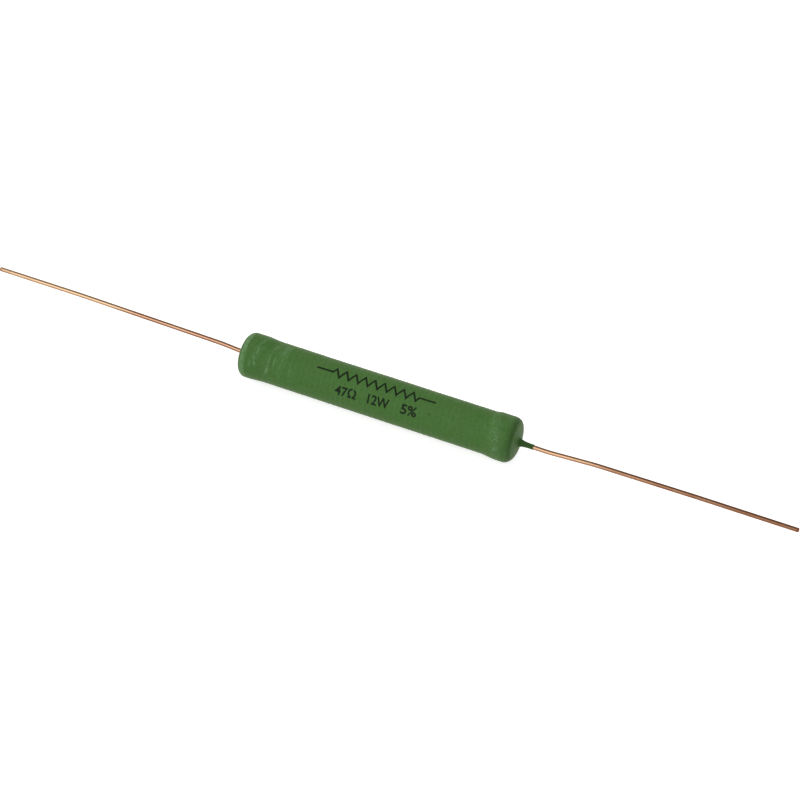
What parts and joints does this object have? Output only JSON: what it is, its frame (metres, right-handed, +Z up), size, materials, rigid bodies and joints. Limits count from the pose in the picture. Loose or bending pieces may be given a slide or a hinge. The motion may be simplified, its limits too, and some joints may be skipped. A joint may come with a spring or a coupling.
{
  "type": "axial resistor",
  "caption": "Cylindrical wirewound resistor with a long copper lead from each end and a hard green cement coating that swells over its end caps.",
  "frame": {"origin": "middle of the ceramic rod, on its axis", "axes": "+X along the leads towards the end with the long run of coating on its lead, +Z up"},
  "size_m": [0.158, 0.0086, 0.0086],
  "materials": {
    "ceramic": "matt, unglazed",
    "cap_steel": "plain pressed steel",
    "resistance_alloy": "dull drawn wire",
    "copper": "drawn, lightly tarnished",
    "green_cement": "satin, faintly ridged by the winding"
  },
  "bodies": {
    "root": {"ceramic_core": "ceramic", "left_end_cap": "cap_steel", "right_end_cap": "cap_steel", "resistance_wire": "resistance_alloy", "left_lead": "copper", "right_lead": "copper", "coating": "green_cement"}
  },
  "joints": []
}
